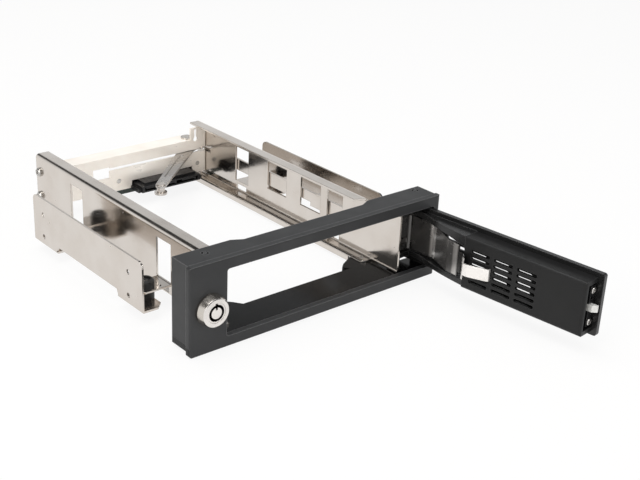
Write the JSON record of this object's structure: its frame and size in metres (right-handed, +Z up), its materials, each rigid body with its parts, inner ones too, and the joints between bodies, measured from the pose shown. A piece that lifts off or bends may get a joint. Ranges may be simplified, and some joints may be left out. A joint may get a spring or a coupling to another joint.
{
  "type": "hard drive mobile rack",
  "caption": "Trayless drive rack for a front bay: damped sheet-steel cage behind a moulded bezel, hinged vented door that works an eject arm, key lock, rear sockets.",
  "frame": {"origin": "middle of the bezel lip's bottom face, halfway through the lip's thickness", "axes": "+X to the right seen from the front, +Y to the rear where the drive slides in, +Z up"},
  "size_m": [0.1537, 0.2779, 0.0425],
  "materials": {
    "bezel_plastic": "fine satin grain, charcoal black",
    "connector_plastic": "smooth black moulding",
    "white_plastic": "smooth off-white moulding",
    "bright_steel": "bright nickel-plated sheet, nearly mirror smooth",
    "pin_steel": "turned and plated",
    "screw_steel": "zinc-plated screws",
    "chrome": "polished chrome with soft machining rings",
    "rubber": "matt black moulded rubber",
    "board": "lacquered green fibreglass board"
  },
  "bodies": {
    "frame": {"bezel": "bezel_plastic", "bezel_screws": "screw_steel", "left_rail": "bright_steel", "right_rail": "bright_steel", "left_bracket": "bright_steel", "right_bracket": "bright_steel", "front_left_damper": "rubber", "rear_left_damper": "rubber", "front_right_damper": "rubber", "rear_right_damper": "rubber", "damper_screws": "screw_steel", "rear_plate": "bright_steel", "rear_plate_screws": "screw_steel", "backplane_board": "board", "board_spacers": "screw_steel", "board_screws": "screw_steel", "drive_connector": "connector_plastic", "data_socket": "connector_plastic", "power_socket": "connector_plastic", "hinge_pin": "pin_steel", "arm_pivot_pin": "pin_steel", "arm_spacer": "pin_steel", "lock_housing": "chrome", "lock_nut": "screw_steel"},
    "door": {"door_panel": "bezel_plastic", "door_cover": "bezel_plastic", "latch_screws": "screw_steel", "latch_plate": "bezel_plastic", "latch_spring": "pin_steel", "door_strap": "bright_steel", "crank_plate": "bright_steel", "crank_pin": "pin_steel"},
    "latch": {"latch_bolt": "white_plastic", "latch_slider": "bezel_plastic"},
    "push_bar": {"push_bar": "bright_steel"},
    "eject_arm": {"eject_arm": "bright_steel", "eject_stud": "pin_steel", "arm_link_pin": "pin_steel"},
    "lock": {"lock_plug": "chrome", "lock_cam": "pin_steel", "lock_cam_screw": "screw_steel"}
  },
  "joints": [
    {"name": "door_hinge", "type": "hinge", "parent": "frame", "child": "door", "pos_m": [0.0563, 0.0103, 0], "axis": [0, 0, 1], "range_deg": [-96, 0]},
    {"name": "latch_slide", "type": "slide", "parent": "door", "child": "latch", "axis": [-0.1045, 0.9945, 0], "range_m": [0, 0.003], "stiffness_N_per_m": 400, "springref_m": -0.004},
    {"name": "push_bar_slide", "type": "slide", "parent": "frame", "child": "push_bar", "axis": [0, 1, 0], "range_m": [-0.01009, 0]},
    {"name": "eject_arm_pivot", "type": "hinge", "parent": "frame", "child": "eject_arm", "pos_m": [0.0415, 0.1705, 0.0205], "axis": [0, 0, 1], "range_deg": [-42.28, 0]},
    {"name": "lock_turn", "type": "hinge", "parent": "frame", "child": "lock", "pos_m": [-0.0638, 0, 0.021], "axis": [0, 1, 0], "range_deg": [0, 90]}
  ],
  "couplings": [
    {"joint": "push_bar_slide", "follows": "door_hinge", "m_per_rad": 0.006016},
    {"joint": "eject_arm_pivot", "follows": "door_hinge", "ratio": 0.44031}
  ]
}
